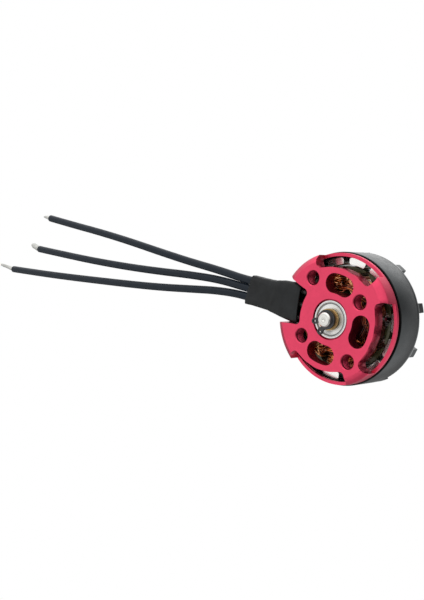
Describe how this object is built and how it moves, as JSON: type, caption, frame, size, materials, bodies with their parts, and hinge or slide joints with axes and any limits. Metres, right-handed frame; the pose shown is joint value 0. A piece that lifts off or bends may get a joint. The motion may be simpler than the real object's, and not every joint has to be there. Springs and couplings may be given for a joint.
{
  "type": "brushless outrunner motor",
  "caption": "Flat outrunner motor: red slotted base with bolt holes, dark bell with radial spokes, threaded propeller stud, shafted rotor on ball bearings, and free phase wires.",
  "frame": {"origin": "centre of the mounting face of the base, on the shaft's axis", "axes": "+Z along the shaft toward the propeller, +X toward the notch where the wires leave, +Y across"},
  "size_m": [0.1283, 0.04, 0.0318],
  "materials": {
    "red_anodised": "satin",
    "lacquered_laminations": "satin",
    "dark_anodised": "satin",
    "dark_steel": "satin",
    "ground_steel": "polished",
    "spring_steel": "satin",
    "shim_brass": "satin",
    "heat_shrink": "matte",
    "copper_winding": "glossy",
    "nickel_plate": "polished",
    "bearing_steel": "polished",
    "shield_steel": "satin",
    "cage_steel": "satin",
    "ball_steel": "polished",
    "silicone_wire": "satin",
    "tinned_copper": "satin",
    "lead_sleeving": "satin"
  },
  "bodies": {
    "stator": {"base_mount": "red_anodised", "stator_core": "lacquered_laminations", "coil_01": "copper_winding", "coil_02": "copper_winding", "coil_03": "copper_winding", "coil_04": "copper_winding", "coil_05": "copper_winding", "coil_06": "copper_winding", "coil_07": "copper_winding", "coil_08": "copper_winding", "coil_09": "copper_winding", "coil_10": "copper_winding", "coil_11": "copper_winding", "coil_12": "copper_winding", "lower_bearing_outer_ring": "bearing_steel", "lower_bearing_shields": "shield_steel", "upper_bearing_outer_ring": "bearing_steel", "upper_bearing_shields": "shield_steel", "heat_shrink_sleeve": "heat_shrink", "phase_lead_a": "lead_sleeving", "phase_lead_b": "lead_sleeving", "phase_lead_c": "lead_sleeving", "wire_a": "silicone_wire", "wire_b": "silicone_wire", "wire_c": "silicone_wire", "wire_a_tip": "tinned_copper", "wire_b_tip": "tinned_copper", "wire_c_tip": "tinned_copper"},
    "rotor": {"bell_cap": "dark_anodised", "flux_ring": "dark_steel", "magnet_01": "nickel_plate", "magnet_02": "nickel_plate", "magnet_03": "nickel_plate", "magnet_04": "nickel_plate", "magnet_05": "nickel_plate", "magnet_06": "nickel_plate", "magnet_07": "nickel_plate", "magnet_08": "nickel_plate", "magnet_09": "nickel_plate", "magnet_10": "nickel_plate", "magnet_11": "nickel_plate", "magnet_12": "nickel_plate", "magnet_13": "nickel_plate", "magnet_14": "nickel_plate", "motor_shaft": "ground_steel", "shaft_circlip": "spring_steel", "retaining_shim": "shim_brass", "upper_shim": "shim_brass", "lower_bearing_inner_ring": "bearing_steel", "upper_bearing_inner_ring": "bearing_steel"},
    "lower_cage": {"lower_bearing_balls": "ball_steel", "lower_bearing_cage": "cage_steel"},
    "upper_cage": {"upper_bearing_balls": "ball_steel", "upper_bearing_cage": "cage_steel"}
  },
  "joints": [
    {"name": "rotor_spin", "type": "hinge", "parent": "stator", "child": "rotor", "pos_m": [0, 0, 0], "axis": [0, 0, 1], "continuous": true},
    {"name": "lower_cage_spin", "type": "hinge", "parent": "stator", "child": "lower_cage", "pos_m": [0, 0, 0.0022], "axis": [0, 0, 1], "continuous": true},
    {"name": "upper_cage_spin", "type": "hinge", "parent": "stator", "child": "upper_cage", "pos_m": [0, 0, 0.0124], "axis": [0, 0, 1], "continuous": true}
  ],
  "couplings": [
    {"joint": "lower_cage_spin", "follows": "rotor_spin", "ratio": 0.3564},
    {"joint": "upper_cage_spin", "follows": "rotor_spin", "ratio": 0.3564}
  ]
}
